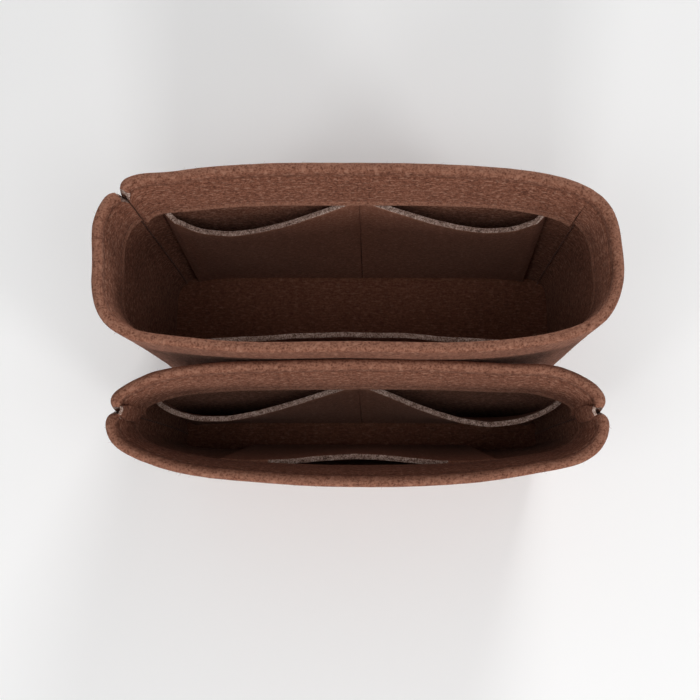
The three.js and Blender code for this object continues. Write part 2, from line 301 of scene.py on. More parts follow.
@dataclass(frozen=True)
class FeltFinish:
    """Heathered brown wool felt, brushed along the panel."""

    name: str = "felt"
    contrast: float = 1.0
    dark: Triple = (0.074, 0.023, 0.013)
    middle: Triple = (0.176, 0.065, 0.038)
    light: Triple = (0.330, 0.152, 0.100)
    fibre: Triple = (0.420, 0.230, 0.160)
    # Pale tone along the fold's crest and the hem's lower edge: partly wear, partly painted highlight where
    # light catches them.
    sheen_and_highlight: Triple = (0.285, 0.133, 0.087)
    # Dark tone painted as shade in the pressed groove below the fold.
    pressed: Triple = (0.050, 0.016, 0.009)
    streaks: Grain = Grain((330.0, 1050.0, 1.0), 3.0, 0.6)
    hairs: Grain = Grain((170.0, 2100.0, 1.0))
    flecks: Grain = Grain((330.0, 700.0, 1.0))
    speckles: Grain = Grain(1050.0, 2.0, 0.6)
    specks: Grain = Grain(480.0)
    blotches: Grain = Grain(60.0, 3.0, 0.55)
    heather: Triple = (0.50, 0.44, 0.13)
    middle_stop: float = 0.55
    dark_reach: float = 0.140
    light_reach: float = 0.150
    # Where in its grain each mark starts, where it is full, and how strong it is.
    fleck_mark: Triple = (0.56, 0.66, 0.42)
    speck_mark: Triple = (0.57, 0.66, 0.62)
    hair_mark: Triple = (0.62, 0.72, 0.45)
    # Patches that break the painted groove shade into dashes.
    groove_shade_blotch: Pair = (0.38, 0.60)
    groove_shade_streak: Pair = (0.42, 0.58)
    grit: Pair = (0.30, 0.62)
    # Distance of each line from the fold, how far it reaches, and how strong it is.
    # Line of painted shade in the pressed groove.
    groove_shade_line: Triple = (4.9 * MM, 1.6 * MM, 1.0)
    # Painted highlight, with some wear, along the hem's lower edge.
    hem_edge_highlight: Triple = (30.5 * MM, 4.6 * MM, 0.95)
    # Painted highlight, with some wear, along the crest of the fold.
    worn_and_lit_fold: Triple = (0.0, 3.0 * MM, 0.85)
    relief: Triple = (0.5, 0.5, 0.25)
    relief_share: float = 0.42
    relief_height: float = 0.8 * MM
    roughness: float = 0.95
    sheen: float = 0.10
    sheen_tint: Triple = (0.80, 0.50, 0.38)

    @cache
    def material(self) -> Material:
        """Felt with brushed streaks, speckle, slow blotches and pale stray hairs, pale bands of wear and
        painted highlight at the fold and the hem's edge, and a line of painted shade in the pressed groove.

        Returns:
            The material.
        """
        surface = Surface(self.name)
        cloth, place = surface.cloth(), surface.place()
        streak, hair, fleck = (surface.noise(cloth, each) for each in (self.streaks, self.hairs, self.flecks))
        plain = (self.speckles, self.specks, self.blotches)
        speckle, speck, blotch = (surface.noise(place, each) for each in plain)
        low = self.middle_stop - self.dark_reach / self.contrast
        high = self.middle_stop + self.light_reach / self.contrast
        stops = ((low, self.dark), (self.middle_stop, self.middle), (high, self.light))
        tone = surface.ramp(surface.weighed(self.heather, streak, speckle, blotch), stops)
        marks = (
            (fleck, self.fleck_mark, self.fibre),
            (speck, self.speck_mark, self.dark),
            (hair, self.hair_mark, self.fibre),
        )
        for value, (start, full, strength), colour in marks:
            tone = surface.mixed(surface.mask(value, start, full, strength * self.contrast), tone, colour)
        # Painted shade along the pressed groove, broken into patches.
        groove_shade_mask = surface.near_line(cloth, *self.groove_shade_line)
        for patch in (surface.mask(blotch, *self.groove_shade_blotch), surface.mask(streak, *self.groove_shade_streak)):
            groove_shade_mask = surface.step("MULTIPLY", groove_shade_mask, patch)
        tone = surface.mixed(groove_shade_mask, tone, self.pressed)
        # Pale bands at the hem's edge and the fold: partly wear, partly painted highlight.
        grit = surface.mask(speckle, *self.grit)
        for line in (self.hem_edge_highlight, self.worn_and_lit_fold):
            worn_and_lit = surface.step("MULTIPLY", surface.near_line(cloth, *line), grit)
            tone = surface.mixed(worn_and_lit, tone, self.sheen_and_highlight)
        relief = surface.weighed(self.relief, streak, speckle, hair)
        surface.bump(relief, self.relief_share, self.relief_height)
        return surface.dull(tone, self.roughness, self.sheen, self.sheen_tint)


@dataclass(frozen=True)
class GrainFinish:
    """Dull finish whose tone follows one fine grain, with a coarser one mixed in if it has clumps."""

    name: str
    grain: Grain
    stops: Stops
    clumps: Grain | None = None
    clump_mix: Pair = (0.75, 0.3)
    relief_share: float = 0.0
    relief_height: float = 0.0
    roughness: float = 1.0
    sheen: float = 0.0
    sheen_tint: Triple = WHITE

    @cache
    def material(self) -> Material:
        """Finish with its grain in the tone and in the bump.

        Returns:
            The material.
        """
        surface = Surface(self.name)
        place = surface.place()
        grain = tone = surface.noise(place, self.grain)
        if self.clumps:
            tone = surface.weighed(self.clump_mix, grain, surface.noise(place, self.clumps))
        if self.relief_share:
            surface.bump(grain, self.relief_share, self.relief_height)
        return surface.dull(surface.ramp(tone, self.stops), self.roughness, self.sheen, self.sheen_tint)


BRUSHED_FELT = FeltFinish()
PRESSED_FELT = FeltFinish("pressed_felt", contrast=0.55)
CUT_EDGE = GrainFinish(
    "felt_cut_edge",
    Grain(1500.0, 2.0, 0.7),
    ((0.40, (0.085, 0.048, 0.036)), (0.53, (0.330, 0.212, 0.170)), (0.68, (0.680, 0.540, 0.470))),
    clumps=Grain(420.0),
    relief_share=0.7,
    relief_height=0.6 * MM,
    sheen=0.15,
    sheen_tint=(0.9, 0.75, 0.68),
)
LOOSE_FIBRE = GrainFinish(
    "loose_fibre",
    Grain(700.0, 1.0),
    ((0.35, (0.150, 0.058, 0.036)), (0.65, (0.360, 0.190, 0.130))),
    roughness=0.9,
    sheen=0.2,
    sheen_tint=(0.8, 0.55, 0.42),
)
SEWING_THREAD = GrainFinish(
    "sewing_thread",
    Grain(2600.0),
    ((0.36, (0.075, 0.027, 0.016)), (0.64, (0.180, 0.074, 0.047))),
    relief_share=0.6,
    relief_height=0.3 * MM,
    roughness=0.6,
    sheen=0.1,
)
STUDIO_FLOOR = GrainFinish(
    "studio_floor", Grain(2.0, 1.0, 0.55), ((0.3, (0.940 * 0.995,) * 3), (0.7, (0.940 * 1.005,) * 3))
)


@cache
def quarter(
    width: float, depth: float, power: float, samples: int = 401
) -> tuple[np.ndarray, np.ndarray, float]:
    """One quarter of a rounded outline, measured along its length.

    Args:
        width: Width of the whole outline.
        depth: Its depth in this quarter.
        power: Squareness of its corner.
        samples: Number of places that are measured.

    Returns:
        Angles, the share of the length at each, and the length.
    """
    angles = np.linspace(0.0, math.pi / 2, samples)
    along = np.cos(angles).clip(0.0)
    deep = np.sin(angles)
    reach = (along**power + deep**power) ** (-1.0 / power)
    steps = np.hypot(np.diff(width / 2 * along * reach), np.diff(depth * deep * reach))
    lengths = np.concatenate([[0.0], np.cumsum(steps)])
    return angles, lengths / lengths[-1], float(lengths[-1])


@dataclass(frozen=True)
class Outline:
    """Plan of a pouch at one height, with its own depth and squareness at the back and the front."""

    width: float
    back: float
    front: float
    back_power: float
    front_power: float
    shift: float = 0.0

    def half(self, at_back: bool) -> Pair:
        """Depth and squareness of the back or the front half."""
        return (self.back, self.back_power) if at_back else (self.front, self.front_power)

    def parts(self, turn: float) -> tuple[float, float, float, float, float]:
        """What the outline is made of at one place.

        Args:
            turn: Place on the outline.

        Returns:
            Depth, squareness, cosine and sine of the place, each with its sign, and its reach.
        """
        turn %= WHOLE
        at_back = turn <= LEFT_END
        half = turn if at_back else WHOLE - turn
        depth, power = self.half(at_back)
        angles, shares, _ = quarter(self.width, depth, power)
        angle = float(np.interp(min(half, LEFT_END - half) / BACK, shares, angles))
        along, deep = max(math.cos(angle), 0.0), math.sin(angle)
        reach = (along**power + deep**power) ** (-1.0 / power)
        return depth, power, along if half <= BACK else -along, deep if at_back else -deep, reach

    def point(self, turn: float, inset: float = 0.0) -> Vector:
        """Place on the outline, a distance inside it.

        Args:
            turn: Place on the outline.
            inset: Distance inside it.

        Returns:
            The place in plan.
        """
        depth, _, along, deep, reach = self.parts(turn)
        x = (self.width / 2 - inset) * along * reach
        return Vector((x, (depth - inset) * deep * reach + self.shift))

    def outward(self, turn: float) -> Vector:
        """Direction that points straight out of the outline.

        Args:
            turn: Place on the outline.

        Returns:
            The direction in plan.
        """
        depth, power, along, deep, _ = self.parts(turn)
        x = math.copysign(abs(along) ** (power - 1), along) / self.width * 2
        return Vector((x, math.copysign(abs(deep) ** (power - 1), deep) / depth)).normalized()

    def turn_of(self, length: float, at_back: bool = True) -> float:
        """Share of the whole turn that a length takes on the back or the front half."""
        return length / quarter(self.width, *self.half(at_back))[2] * BACK


@dataclass(frozen=True)
class Pull:
    """Push or pull of the rim where the felt has taken a set of its own."""

    turn: float
    spread: float
    out: float

    def at(self, turn: float) -> float:
        """How far the rim moves out at one place."""
        gap = abs((turn - self.turn + LEFT_END) % WHOLE - LEFT_END)
        return self.out * bell(gap, self.spread)


@dataclass(frozen=True)
class Dent:
    """Soft dent or pleat along the felt, with its depth, its distance from an edge and its spread."""

    depth: float
    line: float
    spread: float

    def at(self, distance: float) -> float:
        """Depth at a distance from the edge."""
        return self.depth * bell(distance - self.line, self.spread)


@dataclass(frozen=True)
class PouchForm:
    """Flared felt shell between a base outline and a rim outline, with slow waves in its wall and rim."""

    height: float
    rim: Outline
    base: Outline
    flare: float
    centre: float
    pulls: tuple[Pull, ...]
    sway: float
    seed: float
    sway_scale: float = 16.0
    sway_rise: float = 2.3
    still_foot: float = 0.25
    crest_wave: float = 0.9 * MM
    crest_scale: float = 24.0
    crest_seed: float = 7.0
    run_steps: int = 200

    def wall(self, turn: float, z: float, inset: float) -> Vector:
        """Place in the wall of the pouch.

        Args:
            turn: Place on the outline.
            z: Height over the floor.
            inset: Distance inside the outer face.

        Returns:
            The place.
        """
        rise = max(z, 0.0) / self.height
        plan = self.base.point(turn, inset).lerp(self.rim.point(turn, inset), rise**self.flare)
        out = sum(pull.at(turn) for pull in self.pulls) * rise**2
        anchor = self.rim.point(turn) * self.sway_scale
        wave = noise.noise(Vector((anchor.x, anchor.y, rise * self.sway_rise + self.seed)))
        out += self.sway * wave * clamp(rise / self.still_foot)
        plan += self.rim.outward(turn) * out
        return Vector((plan.x, plan.y + self.centre, z))

    def crest(self, turn: float) -> float:
        """How much the rim rises or dips at one place."""
        anchor = self.rim.point(turn) * self.crest_scale
        return self.crest_wave * noise.noise(Vector((anchor.x, anchor.y, self.seed + self.crest_seed)))

    def run(self, first: float, last: float) -> float:
        """Length of the rim between two places."""
        line = [self.rim.point(lerp(first, last, i / self.run_steps)) for i in range(self.run_steps + 1)]
        return sum((b - a).length for a, b in zip(line, line[1:]))


def shown(bm: BMesh, name: str, materials: list[Material]) -> Object:
    """Object made from a bmesh, with smooth faces.

    Args:
        bm: Bmesh, freed here.
        name: Name of the piece.
        materials: Materials of its slots.

    Returns:
        The object.
    """
    mesh = bpy.data.meshes.new(name)
    bm.to_mesh(mesh)
    bm.free()
    mesh.polygons.foreach_set("use_smooth", [True] * len(mesh.polygons))
    for material in materials:
        mesh.materials.append(material)
    piece = bpy.data.objects.new(name, mesh)
    bpy.context.scene.collection.objects.link(piece)
    return piece


class Bundle:
    """Many small shapes gathered into one piece, a handful at a time, which is much quicker."""

    most = 50

    def __init__(self) -> None:
        """Start an empty bundle."""
        self.whole = bmesh.new()
        self.handful = bmesh.new()
        self.held = 0

    def take(self) -> BMesh:
        """Make room for one more shape.

        Returns:
            Bmesh that takes the shape.
        """
        self.held += 1
        if self.held > self.most:
            self.gather()
            self.held = 1
        return self.handful

    def gather(self) -> None:
        """Put the handful with the rest."""
        mesh = bpy.data.meshes.new("handful")
        self.handful.to_mesh(mesh)
        self.whole.from_mesh(mesh)
        self.handful.clear()
        bpy.data.meshes.remove(mesh)

    def shown(self, name: str, material: Material) -> Object:
        """Piece that holds every shape.

        Args:
            name: Name of the piece.
            material: Its material.

        Returns:
            The piece.
        """
        self.gather()
        self.handful.free()
        return shown(self.whole, name, [material])


@dataclass
class LooseFibres:
    """Short strands that stand off a piece of felt, most of them at its cut edges and its crest."""

    piece: Object
    per_square: float = 1.1 / 1e-4
    edge_weight: float = 9.0
    crest: float = math.inf
    crest_weight: float = 3.0
    shortest: float = 0.7 * MM
    longest: float = 2.2 * MM
    thickness: float = 0.09 * MM
    lift: Pair = (0.25, 0.9)
    least_lift: float = 0.1
    righting: float = 0.5
    stray: float = 0.8
    stray_up: float = 0.5
    middle: float = 0.45

    def weight(self, face: MeshPolygon) -> float:
        """How many strands a face gets, against a plain one of unit size, with none near the ground.

        Args:
            face: Face of the felt.

        Returns:
            The weight.
        """
        if face.center.z < self.longest:
            return 0.0
        if face.material_index == EDGE:
            return face.area * self.edge_weight
        return face.area * (self.crest_weight if face.center.z > self.crest else 1.0)

    def build(self) -> Object:
        """Strands as one piece, the same on each run.

        Returns:
            The piece.
        """
        mesh = self.piece.data
        pick = random.Random(self.piece.name)
        weights = [self.weight(face) for face in mesh.polygons]
        count = round(sum(weights) * self.per_square)
        bundle = Bundle()
        for face in pick.choices(mesh.polygons, weights, k=count):
            self.strand(bundle.take(), mesh, face, pick)
        return bundle.shown(f"{self.piece.name}_fibres", LOOSE_FIBRE.material())

    def strand(self, bm: BMesh, mesh: Mesh, face: MeshPolygon, pick: random.Random) -> None:
        """Add one strand that leans off a face.

        Args:
            bm: Bmesh that takes it.
            mesh: Mesh of the felt.
            face: Face that it grows from.
            pick: Source of its chances.
        """
        shares = [pick.random() for _ in face.vertices]
        total = sum(shares)
        root = sum((mesh.vertices[v].co * (s / total) for v, s in zip(face.vertices, shares)), Vector())
        stray = Vector((pick.gauss(0, 1), pick.gauss(0, 1), pick.gauss(0, self.stray_up))).normalized()
        lean = (face.normal * pick.uniform(*self.lift) + stray * self.stray).normalized()
        if lean.dot(face.normal) < self.least_lift:
            lean = (lean + face.normal * self.righting).normalized()
        length = pick.uniform(self.shortest, self.longest)
        turn = lean.to_track_quat("Z", "Y").to_matrix().to_4x4()
        bmesh.ops.create_cone(
            bm,
            cap_ends=True,
            segments=3,
            radius1=self.thickness / 2,
            radius2=self.thickness / 5,
            depth=length,
            matrix=Matrix.Translation(root + lean * length * self.middle) @ turn,
        )


@dataclass
class FeltPanel(ABC):
    """Panel of felt with rounded cut edges, shaped from a flat grid."""

    name: str
    form: PouchForm
    _: KW_ONLY
    columns: int = 0
    rows: int = 0
    thickness: float = FELT
    finish: FeltFinish = BRUSHED_FELT
    held: str = "laid"
    edge_round: float = 0.32 * MM
    edge_angle: float = math.radians(55)
    upright: float = 0.35
    bare_above: float = math.inf

    @property
    def node(self) -> str:
        """Node that the panel stands for."""
        return self.name.removesuffix("_felt")

    @property
    def grid(self) -> tuple[int, int]:
        """Number of steps along the panel and up it."""
        return self.columns, self.rows

    @property
    @abstractmethod
    def flat(self) -> Pair:
        """Size that the felt was cut to."""

    @abstractmethod
    def place(self, along: float, row: int) -> Vector:
        """Place of the felt's middle, from the share along the grid and the row."""

    @abstractmethod
    def lie(self, along: float, row: int) -> Pair:
        """Distance along the flat felt and up it, from the share along the grid and the row."""

    def build(self) -> tuple[Object, float]:
        """Panel as one closed sheet of felt.

        Returns:
            The piece and the area of its middle layer.
        """
        columns, rows = self.grid
        bm = bmesh.new()
        grain = bm.loops.layers.uv.new(GRAIN)
        bmesh.ops.create_grid(bm, x_segments=columns, y_segments=rows, size=0.5, calc_uvs=True)
        spots = {vert: (clamp(vert.co.x + 0.5), round((vert.co.y + 0.5) * rows)) for vert in bm.verts}
        for face in bm.faces:
            for loop in face.loops:
                loop[grain].uv = self.lie(*spots[loop.vert])
        for vert, spot in spots.items():
            vert.co = self.place(*spot)
        area = sum(face.calc_area() for face in bm.faces)
        piece = shown(bm, self.name, [self.finish.material(), CUT_EDGE.material()])
        self.thicken(piece)
        self.face_outwards(piece.data)
        return piece, area

    def thicken(self, piece: Object) -> None:
        """Give a thin sheet the thickness and the rounded edges of felt.

        Args:
            piece: Sheet without thickness.
        """
        thick = piece.modifiers.new("felt", "SOLIDIFY")
        thick.thickness = self.thickness
        thick.offset = 0.0
        thick.use_even_offset = True
        thick.material_offset_rim = EDGE
        soft = piece.modifiers.new("soft_edges", "BEVEL")
        soft.width = self.edge_round
        soft.segments = 2
        soft.material = EDGE
        soft.limit_method = "ANGLE"
        soft.angle_limit = self.edge_angle
        graph = bpy.context.evaluated_depsgraph_get()
        graph.update()
        mesh = bpy.data.meshes.new_from_object(piece.evaluated_get(graph), depsgraph=graph)
        thin = piece.data
        piece.modifiers.clear()
        piece.data = mesh
        bpy.data.meshes.remove(thin)
        mesh.name = piece.name

    def face_outwards(self, mesh: Mesh) -> None:
        """Turn every face of a closed sheet outwards, and keep the cut edge's finish where it is bare.

        Args:
            mesh: Mesh of the sheet.
        """
        bm = bmesh.new()
        bm.from_mesh(mesh)
        bmesh.ops.recalc_face_normals(bm, faces=bm.faces)
        bm.normal_update()
        for face in bm.faces:
            if abs(face.normal.z) < self.upright and face.calc_center_median().z < self.bare_above:
                face.material_index = FACE
        bm.to_mesh(mesh)
        bm.free()


@dataclass(frozen=True)
class SeamEnd:
    """How the end of a wall is drawn in at its seam."""

    notch: float
    tuck: float
    open: float = 0.0
    run: float = 7 * MM


@dataclass
class WallPanel(FeltPanel):
    """Felt wall that is folded over at the rim and sewn down inside as a hem."""

    span: Pair
    ends: tuple[SeamEnd, SeamEnd]
    _: KW_ONLY
    held: str = "folded"
    hem_stand: float = 0.0
    creased: bool = False
    step: float = 2.0 * MM
    wall_rows: int = 34
    fold_rows: int = 10
    hem_rows: int = 18
    crowding: float = 0.7
    crest_zone: float = 9 * MM
    swell: float = 0.5 * MM
    flat_top: float = 4 * MM
    groove: Dent = Dent(0.45 * MM, 5.6 * MM, 0.9 * MM)
    sewn: Dent = Dent(0.28 * MM, HEM - HEM_STITCH_RISE, 1.0 * MM)
    crease: Dent = Dent(0.5 * MM, 0.0, 1.3 * MM)
    lump: float = 0.12 * MM
    lump_scale: float = 180.0
    lump_depth_scale: float = 300.0

    def __post_init__(self) -> None:
        """Leave the felt's cut ends bare near the rim."""
        self.bare_above = self.form.height - self.crest_zone

    @cached_property
    def length(self) -> float:
        """Length of the wall along its rim."""
        return self.form.run(*self.span)

    @cached_property
    def section(self) -> list[Triple]:
        """Middle of the felt from the foot up, over the fold and down the hem.

        Returns:
            Inset, height and distance along the felt, for each row.
        """
        top = self.form.height - FOLD / 2
        bend = (FOLD - FELT) / 2
        rows = [(FELT / 2, lerp(FLOOR, top, i / self.wall_rows)) for i in range(self.wall_rows)]
        for i in range(self.fold_rows + 1):
            angle = math.pi * i / self.fold_rows
            rows.append((FOLD / 2 - bend * math.cos(angle), top + bend * math.sin(angle)))
        for i in range(1, self.hem_rows + 1):
            rows.append((FOLD - FELT / 2, lerp(top, self.form.height - HEM, i / self.hem_rows)))
        runs = [0.0]
        for (inset, z), (next_inset, next_z) in zip(rows, rows[1:]):
            runs.append(runs[-1] + math.hypot(next_inset - inset, next_z - z))
        return [(inset, z, run) for (inset, z), run in zip(rows, runs)]

    @property
    def grid(self) -> tuple[int, int]:
        """Number of steps along the wall and up its section."""
        return round(self.length / self.step), len(self.section) - 1

    @property
    def flat(self) -> Pair:
        """Size that the felt was cut to, with the turned hem."""
        return self.length, self.section[-1][2]

    def crowded(self, along: float) -> float:
        """Share along the wall, with the steps closer together at its seams."""
        return along - self.crowding * math.sin(2 * math.pi * along) / (2 * math.pi)

    def hem_form(self, inset: float, z: float, to_crease: float) -> float:
        """How far the hem stands in or out at one height.

        Args:
            inset: Inset of the felt's middle.
            z: Height of the felt.
            to_crease: Distance to the crease over the pocket seam.

        Returns:
            Distance further into the pouch.
        """
        if inset < FOLD / 2:
            return 0.0
        below = self.form.height - z
        share = clamp((below - self.flat_top) / (self.sewn.line - self.flat_top))
        stand = self.swell * math.sin(math.pi * share)
        stand += self.hem_stand * clamp(below / HEM) ** HEM_STAND_CURVE
        crease = self.crease.at(to_crease) * clamp(below / FOLD)
        return stand - self.groove.at(below) - self.sewn.at(below) - crease

    def place(self, along: float, row: int) -> Vector:
        """Place of the felt's middle.

        Args:
            along: Share along the grid.
            row: Row of the section.

        Returns:
            The place.
        """
        inset, z, _ = self.section[row]
        share = self.crowded(along)
        turn = lerp(*self.span, share)
        run = share * self.length
        in_hem = clamp((z - self.form.height + HEM) / HEM)
        inset += self.hem_form(inset, z, abs(run - self.length / 2) if self.creased else math.inf)
        crest = clamp((z - self.form.height + self.crest_zone) / self.crest_zone)
        for end, gap, way in zip(self.ends, (run, (1 - share) * self.length), (1, -1)):
            near = max(1 - gap / end.run, 0.0) ** 2
            z -= end.notch * near * in_hem
            inset += end.tuck * near
            turn += way * self.form.rim.turn_of(end.open) * near * crest
        depth = inset * self.lump_depth_scale + self.form.seed
        lump = noise.noise(Vector((run * self.lump_scale, z * self.lump_scale, depth)))
        return self.form.wall(turn, z + self.form.crest(turn) * in_hem, inset + self.lump * lump)

    def lie(self, along: float, row: int) -> Pair:
        """Distance along the flat felt, and up it from the crest of the fold."""
        crest = (self.form.height - FOLD / 2 - FLOOR) + math.pi * (FOLD - FELT) / 4
        return self.crowded(along) * self.length, self.section[row][2] - crest


@dataclass
class BasePanel(FeltPanel):
    """Flat felt floor of a pouch, very slightly uneven."""

    _: KW_ONLY
    finish: FeltFinish = PRESSED_FELT
    columns: int = 56
    rows: int = 56
    lump: float = 0.1 * MM
    lump_scale: float = 30.0

    @property
    def flat(self) -> Pair:
        """Size that the felt was cut to."""
        return self.form.base.width, self.form.base.back + self.form.base.front

    def spot(self, along: float, row: int) -> Vector:
        """Place in plan, from the middle of the base.

        Args:
            along: Share across the grid.
            row: Row of the grid.

        Returns:
            The place in plan.
        """
        x, y = 2 * along - 1, 2 * row / self.rows - 1
        ring = max(abs(x), abs(y))
        if ring == 0.0:
            return Vector((0.0, 0.0))
        depth, power = self.form.base.half(y > 0)
        reach = (abs(x / ring) ** power + abs(y / ring) ** power) ** (-1.0 / power)
        return Vector((self.form.base.width / 2 * x * reach, depth * y * reach))

    def place(self, along: float, row: int) -> Vector:
        """Place of the felt's middle in the base.

        Args:
            along: Share across the grid.
            row: Row of the grid.

        Returns:
            The place.
        """
        plan = self.spot(along, row)
        lump = noise.noise(Vector((plan.x * self.lump_scale, plan.y * self.lump_scale, self.form.seed)))
        y = plan.y + self.form.base.shift + self.form.centre
        return Vector((plan.x, y, FELT / 2 + self.lump * lump))

    def lie(self, along: float, row: int) -> Pair:
        """Distance across the flat felt and up it."""
        plan = self.spot(along, row)
        return plan.x, plan.y + FAR


@dataclass(frozen=True)
class Scoop:
    """Lip of a pocket, and how far its sewn side stays from the wall's seam at the lip and the foot."""

    stand: float
    dip: float
    low_point: float = 0.5
    fullness: float = 1.0
    side: float = 0.0
    foot: float = 0.0
    pleat: float = 0.0
    bare_reach: float = math.inf
    columns: int = 64


@dataclass
class PocketPanel(FeltPanel):
    """Scooped inner pocket, sewn to the wall at its sides and foot, its lip standing off the wall."""

    body: str
    wall_body: str
    scoop: Scoop
    edge: Callable[[float], float]
    other: float
    _: KW_ONLY
    finish: FeltFinish = PRESSED_FELT
    held: str = "hung"
    thickness: float = 2.7 * MM
    rows: int = 44
    belly: float = 1.3
    ripple: float = 0.5 * MM
    ripples_across: float = 9.0
    ripples_up: float = 3.0
    pleat: Dent = Dent(1.0, 5 * MM, 1.9 * MM)
    pleat_rise: float = 3.0

    @property
    def grid(self) -> tuple[int, int]:
        """Number of steps across the pocket and up it."""
        return self.scoop.columns, self.rows

    @cached_property
    def flat(self) -> Pair:
        """Size that the felt was cut to, as wide as the pocket's lip or its foot."""
        width = max(self.form.run(self.edge(up), self.other) for up in (0.0, 1.0))
        return width, self.form.height - HEM

    def sag(self, across: float) -> float:
        """Fullness of the lip at one place, 1 at its low point."""
        return math.sin(math.pi * clamp(across) ** (math.log(0.5) / math.log(self.scoop.low_point)))

    def place(self, along: float, row: int) -> Vector:
        """Place of the felt's middle.

        Args:
            along: Share across the pocket.
            row: Row from the foot to the lip.

        Returns:
            The place.
        """
        scoop = self.scoop
        up = row / self.rows
        sag = self.sag(along)
        peak = self.form.height - HEM - POCKET_HEM_GAP
        seed = self.form.seed + scoop.low_point
        wave = self.ripple * noise.noise(Vector((along * self.ripples_across, up * self.ripples_up, seed)))
        z = lerp(POCKET_FOOT, peak - scoop.dip * sag + wave * sag, up)
        spot = self.form.wall(lerp(self.edge(up), self.other, along), z, FLOOR + FELT / 2)
        lift = scoop.stand * sag**scoop.fullness * up**self.belly + wave * sag * up
        lift += scoop.pleat * self.pleat.at(along * self.flat[0]) * clamp(up * self.pleat_rise)
        spot.y += lift if self.other > LEFT_END else -lift
        return spot

    def lie(self, along: float, row: int) -> Pair:
        """Distance across the flat felt, and up it from the lip."""
        width, height = self.flat
        return along * width, (row / self.rows - 1) * height

    def halves(self) -> Iterator[Object]:
        """Pocket as two pieces that meet at its low point.

        Yields:
            Each half.
        """
        whole, area = self.build()
        ends = [self.place(0.0, self.rows), self.place(1.0, self.rows)]
        middle = self.place(self.scoop.low_point, self.rows)
        for face in whole.data.polygons:
            if abs(face.center.x - middle.x) > self.scoop.bare_reach:
                face.material_index = FACE
        for end, word in zip(ends, ("first", "last")):
            half = half_of(whole, f"{self.name}_{word}", middle, end.x - middle.x)
            share = abs(end.x - middle.x) / abs(ends[1].x - ends[0].x)
            strands = LooseFibres(half).build()
            for piece in (half, strands):
                self.body
                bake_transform(piece)
            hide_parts(self.node)
            flat = (share * self.flat[0], self.flat[1])
            yield half
        bpy.data.objects.remove(whole)


def half_of(whole: Object, name: str, middle: Vector, way: float) -> Object:
    """Half of a closed piece on one side of an upright plane, with its cut closed.

    Args:
        whole: Piece to divide, left as it is.
        name: Name of the half.
        middle: Place on the plane.
        way: Sign of the side that is kept, along X.

    Returns:
        The half.
    """
    bm = bmesh.new()
    bm.from_mesh(whole.data)
    everything = [*bm.verts, *bm.edges, *bm.faces]
    normal = (-math.copysign(1.0, way), 0.0, 0.0)
    cut = bmesh.ops.bisect_plane(bm, geom=everything, plane_co=middle, plane_no=normal, clear_outer=True)
    edges = [item for item in cut["geom_cut"] if isinstance(item, BMEdge)]
    bmesh.ops.holes_fill(bm, edges=edges, sides=0)
    for edge in edges:
        edge.smooth = False
    return shown(bm, name, list(whole.data.materials))


@dataclass
class SeamTab(FeltPanel):
    """Small felt tab that covers the seam between two hems inside a pouch."""

    turn: float
    _: KW_ONLY
    columns: int = 10
    rows: int = 16
    thickness: float = 1.6 * MM
    width: float = 10 * MM
    drop: float = 24 * MM
    top_width: float = 5 * MM
    below_crest: float = 2.0 * MM
    arch: float = 0.6 * MM
    curl: float = 0.5 * MM
    clear: float = 0.4 * MM
    taper: float = 3.0

    @property
    def flat(self) -> Pair:
        """Size that the felt was cut to."""
        return self.width, self.drop

    def place(self, along: float, row: int) -> Vector:
        """Place of the tab's middle, lying on the hems.

        Args:
            along: Share across the tab.
            row: Row from its foot to its top.

        Returns:
            The place.
        """
        up = row / self.rows
        width = lerp(self.width, self.top_width, clamp(up * self.taper - (self.taper - 1)))
        turn = self.turn + self.form.rim.turn_of((along - 0.5) * width)
        z = self.form.height - self.below_crest - self.drop * (1 - up)
        lift = self.arch * (1 - abs(2 * along - 1)) + self.curl * (1 - up)
        return self.form.wall(turn, z, FOLD + self.thickness / 2 + self.clear + lift)

    def lie(self, along: float, row: int) -> Pair:
        """Distance across the flat tab and up it."""
        return along * self.width, FAR + row / self.rows * self.drop


@dataclass
class StitchRun:
    """Row of separate stitches along a sewn line."""

    node: str
    path: Line
    pitch: float = 3.4 * MM
    length: float = 2.7 * MM
    thickness: float = 0.85 * MM
    samples: int = 600

    def build(self) -> Object:
        """Stitches as one piece.

        Returns:
            The piece.
        """
        line = [self.path(i / self.samples) for i in range(self.samples + 1)]
        lengths = np.concatenate([[0.0], np.cumsum([(b - a).length for a, b in zip(line, line[1:])])])
        axes = np.array(line).T
        count = max(1, round(lengths[-1] / self.pitch))
        size = Matrix.Diagonal((self.thickness, self.thickness, self.length, 1.0))
        bundle = Bundle()
        for stitch in range(count):
            middle = (stitch + 0.5) / count * lengths[-1]
            ends = (middle - self.length / 2, middle + self.length / 2)
            start, stop = (Vector([float(np.interp(end, lengths, axis)) for axis in axes]) for end in ends)
            way = (stop - start).to_track_quat("Z", "Y").to_matrix().to_4x4()
            spot = Matrix.Translation((start + stop) / 2) @ way @ size
            bmesh.ops.create_uvsphere(bundle.take(), u_segments=8, v_segments=6, radius=0.5, matrix=spot)
        return bundle.shown(f"{self.node.removesuffix('_stitch')}_stitches", SEWING_THREAD.material())


